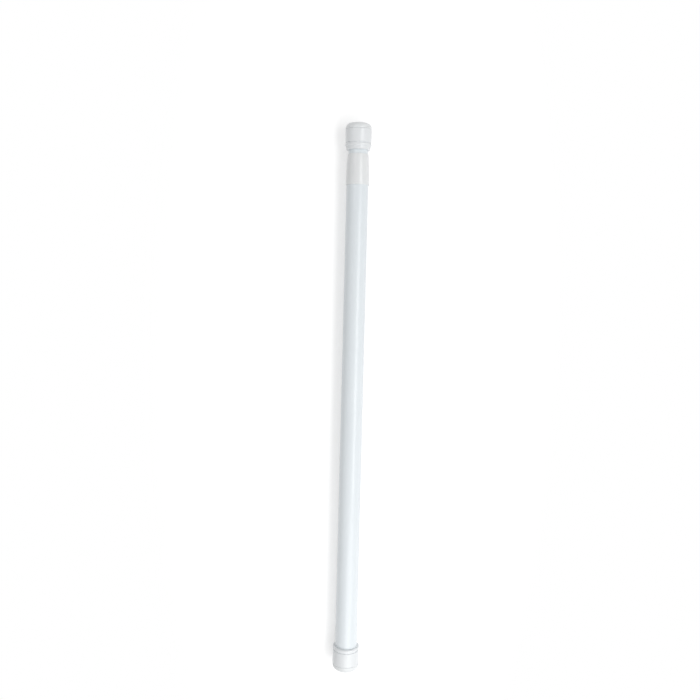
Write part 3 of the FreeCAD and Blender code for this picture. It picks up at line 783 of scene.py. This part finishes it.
# %% A finish is a material with its graph
class Finish(Graph):
    def __init__(self, name, **fixed):
        self.material = bpy.data.materials.new(name)
        self.material.use_nodes = True
        super().__init__(self.material.node_tree)
        self.shader = self.tree.nodes["Principled BSDF"]
        for socket, value in fixed.items():
            self.paint(socket.replace("_", " "), value)

    def paint(self, socket, value):
        self.feed(self.shader.inputs[socket], value)

    def noise(self, scale, stretch=(1, 1, 1), detail=3.0, roughness=0.55):
        """Noise from about 0 to 1. stretch gives each axis its share of the scale."""
        where = self.node("ShaderNodeTexCoord").outputs["Object"]
        mapped = self.node("ShaderNodeMapping", inputs={"Vector": where, "Scale": stretch}).outputs[0]
        inputs = {"Vector": mapped, "Scale": scale, "Detail": detail, "Roughness": roughness}
        return Amount(self, self.node("ShaderNodeTexNoise", inputs=inputs).outputs["Fac"])

    def relief(self, height, depth):
        """Bumps of a depth in metres, for a height from 0 to 1."""
        inputs = {"Height": height, "Distance": depth, "Strength": 1.0}
        self.paint("Normal", self.node("ShaderNodeBump", inputs=inputs).outputs["Normal"])


# %% [markdown]
# ## White lacquer on the tubes
#
# Stoved lacquer on a drawn tube is a cool white. Close up it has faint lines along the tube from the
# drawing die, a soft orange peel from the lacquer, and its gloss varies a little where it was handled.
# The stretched noise makes the lines, and all of the relief is a few thousandths of a millimetre deep.

# %% Mix the lacquer
LACQUER_SHADE = (0.766, 0.815, 0.845)
LACQUER_WHITE = (0.791, 0.838, 0.866)
LACQUER_RELIEF = 0.006 * MM


def white_lacquer():
    finish = Finish("white_lacquer", Coat_Weight=0.35, Coat_Roughness=0.12, IOR=1.48)
    clouds = finish.noise(9, stretch=(1, 4, 4), detail=2.0)
    peel = finish.noise(420, detail=1.5)
    lines = finish.noise(900, stretch=(0.02, 1, 1), detail=2.0)
    handled = finish.noise(38, stretch=(0.5, 1, 1), detail=5.0, roughness=0.7)
    finish.paint("Base Color", finish.blend(clouds.contrast(1.6), LACQUER_SHADE, LACQUER_WHITE))
    finish.paint("Roughness", 0.27 + handled * 0.14 + lines * 0.05)
    finish.relief(peel * 0.6 + lines * 0.4, LACQUER_RELIEF)
    return finish.material


# %% [markdown]
# ## Moulded plastic
#
# The caps and the bush are a glossy cool white, and the ferrule is a shade warmer. Moulded plastic has
# a low ripple where the melt shrank and a very fine grain from the tool. The nylon pieces inside are
# the same recipe with other colours and less gloss.

# %% Mix the plastics
RIPPLE = 0.02 * MM


def moulded(name, pale, dark, roughness):
    finish = Finish(name, IOR=1.49, Coat_Weight=0.35, Coat_Roughness=0.14)
    flow = finish.noise(55, stretch=(0.5, 1, 1), detail=2.0)
    grain = finish.noise(900, detail=2.0)
    finish.paint("Base Color", finish.blend(flow.contrast(1.5), dark, pale))
    finish.paint("Roughness", roughness - 0.05 + flow * 0.07 + grain * 0.03)
    finish.relief(flow * 0.9 + grain * 0.1, RIPPLE)
    return finish.material


# %% [markdown]
# The feet are a softer plastic. It shines less than the caps, its skin has a finer and deeper grain,
# and it picks up faint scuffs, which change both its tone and its gloss.

# %% Mix the soft plastic
FOOT_SHADE = (0.785, 0.806, 0.816)
FOOT_WHITE = (0.822, 0.84, 0.848)
FOOT_GRAIN = 0.012 * MM


def soft_plastic():
    finish = Finish("soft_foot_white", IOR=1.46, Coat_Weight=0.4, Coat_Roughness=0.2)
    grain = finish.noise(2600)
    scuffs = finish.noise(120, detail=6.0, roughness=0.75)
    finish.paint("Base Color", finish.blend(scuffs.contrast(1.4), FOOT_SHADE, FOOT_WHITE))
    finish.paint("Roughness", 0.4 + scuffs * 0.14)
    finish.relief(grain, FOOT_GRAIN)
    return finish.material


# %% [markdown]
# ## Steel and rubber
#
# The steel pieces are bare or plated metal: fine working marks, along the rod on the drawn spindle and
# even on the others, and faint stains that dull them in places. The drag band is black rubber with a
# grey bloom.

# %% Mix the steels and the rubber
RUBBER_BLACK = (0.02, 0.02, 0.021)
RUBBER_BLOOM = (0.05, 0.05, 0.052)
RUBBER_RELIEF = 0.02 * MM


def steel(name, pale, dark, roughness, stretch, depth):
    finish = Finish(name, Metallic=1.0)
    marks = finish.noise(1400, stretch=stretch)
    stains = finish.noise(180, detail=5.0, roughness=0.7)
    finish.paint("Base Color", finish.blend(stains.contrast(1.8), dark, pale))
    finish.paint("Roughness", roughness + marks * 0.12 + stains * 0.08)
    finish.relief(marks, depth)
    return finish.material


def band_rubber():
    finish = Finish("band_rubber", IOR=1.5)
    bloom = finish.noise(300, detail=5.0, roughness=0.7)
    finish.paint("Base Color", finish.blend(bloom, RUBBER_BLACK, RUBBER_BLOOM))
    finish.paint("Roughness", 0.6 + bloom * 0.2)
    finish.relief(bloom, RUBBER_RELIEF)
    return finish.material


# %% [markdown]
# The CAD record names a slot for each finish and says which slot each CAD piece belongs to. One table
# gives every slot its material. A plastic or a steel is told its name, its pale and its dark tone and
# its roughness, and a steel also which way its marks run and how deep they are.

# %% Fill the slots
ALONG = (0.03, 1, 1)
EVEN = (1, 1, 1)
FINE = 0.004 * MM
COARSE = 0.006 * MM
finishes = {
    "white_tube": white_lacquer(),
    "cap_plastic": moulded("cap_white", (0.804, 0.824, 0.838), (0.776, 0.798, 0.814), 0.33),
    "ferrule_plastic": moulded("ferrule_white", (0.808, 0.822, 0.826), (0.782, 0.797, 0.802), 0.34),
    "soft_foot": soft_plastic(),
    "grey_nylon": moulded("grey_nylon", (0.2, 0.205, 0.21), (0.15, 0.155, 0.16), 0.5),
    "natural_nylon": moulded("undyed_nylon", (0.66, 0.63, 0.55), (0.6, 0.565, 0.48), 0.45),
    "zinc_steel": steel("zinc_plate", (0.66, 0.69, 0.73), (0.5, 0.53, 0.57), 0.27, EVEN, FINE),
    "spindle_steel": steel("drawn_steel", (0.56, 0.57, 0.59), (0.4, 0.41, 0.43), 0.28, ALONG, COARSE),
    "spring_steel": steel("oiled_spring", (0.3, 0.3, 0.31), (0.16, 0.155, 0.15), 0.3, EVEN, FINE),
    "black_rubber": band_rubber(),
}
print("finishes:", sorted(finishes))

# %% [markdown]
# The new pieces were given their slots as they were made, so one loop over them and one over the CAD
# pieces finish the whole rod.

# %% Give every piece its finish
slot_of_node = {part["node"]: part["material_slot"] for part in frame["record"]["subparts"]}


def finish_piece(piece, slot):
    piece.data.materials.clear()
    piece.data.materials.append(finishes[slot])


for node, piece in frame["nodes"].items():
    finish_piece(piece, slot_of_node[node])
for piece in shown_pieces():
    if "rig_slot" in piece:
        finish_piece(piece, piece["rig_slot"])

# %% [markdown]
# ## The paper that the rod lies on
#
# The picture's ground is pure white, but the rod should still lie on something, with its shadow
# beside it. More light would burn out the white rod, so the ground gets its white another way: a ray
# that shows the surface itself, straight from the camera or in a reflection, sees a share of white
# added to the lit paper, and well away from the rod nothing but white. No light is added to the rod.

# %% Tell which rays show a surface
def seen_directly(graph):
    """1 for a ray that shows the surface itself: from the camera, in a mirror or through glass."""
    ray = graph.node("ShaderNodeLightPath").outputs
    shown = Amount(graph, ray["Is Camera Ray"])
    for kind in ("Is Glossy Ray", "Is Transmission Ray"):
        shown = graph.sum("MAXIMUM", shown, ray[kind])
    return shown


# %% [markdown]
# How near a spot is to the rod comes from a round gradient, drawn out along the rod so that it also
# holds the extended rod. From below the paper lets the eye through, so that the rod's underside can be
# looked at too.

# %% Mix the paper
PAPER = (0.86, 0.86, 0.86, 1)
WHITE = (1, 1, 1, 1)
WHITE_SHARE = 0.33
NEAR_CENTRE = 0.45
NEAR_LENGTH = 0.9
NEAR_WIDTH = 0.3
FADE_END = 0.1
FADE_START = 0.5


def nearness(paper):
    """1 on the paper round the rod, 0 well away from it."""
    where = paper.node("ShaderNodeTexCoord").outputs["Object"]
    centred = {"Vector": where, "Location": (-NEAR_CENTRE / NEAR_LENGTH, 0, 0)}
    centred["Scale"] = (1 / NEAR_LENGTH, 1 / NEAR_WIDTH, 0)
    place = paper.node("ShaderNodeMapping", inputs=centred).outputs[0]
    ball = paper.node("ShaderNodeTexGradient", {"gradient_type": "SPHERICAL"}, {"Vector": place})
    inputs = {"Value": ball.outputs["Fac"], "From Min": FADE_END, "From Max": FADE_START}
    fade = paper.node("ShaderNodeMapRange", {"interpolation_type": "SMOOTHSTEP"}, inputs)
    return Amount(paper, fade.outputs["Result"])


def white_paper():
    paper = Finish("white_paper", Base_Color=PAPER, Roughness=0.9, Specular_IOR_Level=0.1)
    shown = seen_directly(paper)
    share = (WHITE_SHARE,) * 3
    paper.paint("Emission Color", paper.blend(shown, (0, 0, 0), share))
    paper.paint("Emission Strength", 1.0)
    away = shown * (1 - nearness(paper))
    white = paper.node("ShaderNodeEmission", inputs={"Color": WHITE, "Strength": 1.0}).outputs[0]
    top = paper.cover(away, paper.shader.outputs[0], white)
    below = paper.node("ShaderNodeNewGeometry").outputs["Backfacing"]
    clear = paper.node("ShaderNodeBsdfTransparent").outputs[0]
    paper.feed(paper.tree.nodes["Material Output"].inputs["Surface"], paper.cover(below, top, clear))
    return paper.material


# %% [markdown]
# The paper itself is one large square that just touches the lowest point of the caps.

# %% Lay the paper
FLOOR_SIZE = 6.0


def lay_paper():
    mesh = bmesh.new()
    bmesh.ops.create_grid(mesh, x_segments=1, y_segments=1, size=FLOOR_SIZE / 2)
    bmesh.ops.translate(mesh, verts=mesh.verts[:], vec=(NEAR_CENTRE, 0, cad_low.z))
    floor = finished(mesh, "floor")
    floor.data.materials.append(white_paper())
    print(f"paper {FLOOR_SIZE} m square, {-1000 * cad_low.z:.1f} mm below the axis")


lay_paper()

# %% [markdown]
# ## The light
#
# In the picture the rod's left side is in soft shade, its right side is bright, and the near end is
# brighter than the far one. A single large soft box gave too much contrast across a tube this thin.
# Three weak lamps come closer: a long strip to the right of the rod and a little past its middle, a
# broad panel beyond the near foot, and a small box past the far foot on the other side, which keeps
# the shade there from going grey.

# %% Hang the lamps
def soft_box(name, place, target, size, power):
    """A rectangular lamp that faces its target. Metres and watts."""
    lamp = bpy.data.lights.new(name, "AREA")
    lamp.shape = "RECTANGLE"
    lamp.size, lamp.size_y = size
    lamp.energy = power
    holder = bpy.data.objects.new(name, lamp)
    holder.location = place
    facing = Vector(target) - Vector(place)
    holder.rotation_euler = facing.to_track_quat("-Z", "Y").to_euler()
    bpy.context.scene.collection.objects.link(holder)
    print(f"{name}: {power} W from {facing.length:.2f} m")


soft_box("long_strip", place=(0.42, -0.64, 0.95), target=(0.42, 0, 0), size=(1.2, 0.4), power=5.3)
soft_box("end_panel", place=(-0.34, -0.22, 0.62), target=(0.08, -0.03, 0), size=(0.7, 0.5), power=2.3)
soft_box("far_box", place=(1.05, 0.36, 0.66), target=(0.64, 0, 0), size=(0.4, 0.3), power=0.6)

# %% [markdown]
# The rest of the light comes evenly from all round, as in a white room. The eye sees that room as pure
# white, and the rod gets only about half of that from it.

# %% Light the room
WORLD_STRENGTH = 0.49


def make_world():
    world = bpy.data.worlds.new("studio")
    bpy.context.scene.world = world
    world.use_nodes = True
    room = Graph(world.node_tree)
    background = room.tree.nodes["Background"]
    strength = seen_directly(room) * (1 - WORLD_STRENGTH) + WORLD_STRENGTH
    room.feed(background.inputs["Color"], WHITE)
    room.feed(background.inputs["Strength"], strength)
    print(f"the room lights the rod with {WORLD_STRENGTH} of its white")


make_world()

# %% [markdown]
# ## The camera
#
# The picture shows the rod from straight above, a little turned, with the far foot at the top. Where
# the two feet's faces lie in the picture gives the turn and the scale. How the rims of the caps curve
# gives the point that the camera is plumb above, and the lens. The camera's height then follows from
# the lens and the scale.

# %% Set the camera
PICTURE = 700
NEAR_FOOT_PX = (345.35, 668.0)
FAR_FOOT_PX = (358.93, 123.6)
PLUMB_PX = (350.0, 281.0)
LENS = 39.5
SENSOR = 36.0


def make_camera():
    across = FAR_FOOT_PX[0] - NEAR_FOOT_PX[0]
    upward = NEAR_FOOT_PX[1] - FAR_FOOT_PX[1]
    turn = math.atan2(across, upward)
    metres_a_pixel = (far_pad.end - near_pad.start) / math.hypot(across, upward)
    right = Vector((math.sin(turn), -math.cos(turn), 0))
    up = Vector((math.cos(turn), math.sin(turn), 0))
    sideways = (PLUMB_PX[0] - NEAR_FOOT_PX[0]) * metres_a_pixel
    along = (NEAR_FOOT_PX[1] - PLUMB_PX[1]) * metres_a_pixel
    height = LENS / SENSOR * PICTURE * metres_a_pixel
    data = bpy.data.cameras.new("camera")
    data.lens = LENS
    data.sensor_width = SENSOR
    data.shift_y = (PLUMB_PX[1] - PICTURE / 2) / PICTURE
    camera = bpy.data.objects.new("camera", data)
    camera.location = right * sideways + up * along + Vector((0, 0, height))
    camera.rotation_euler = (0, 0, turn - math.pi / 2)
    bpy.context.scene.collection.objects.link(camera)
    bpy.context.scene.camera = camera
    print(f"camera {height:.3f} m above the axis, turned {math.degrees(turn):.2f} degrees")


make_camera()
bpy.context.scene.view_settings.view_transform = "Standard"
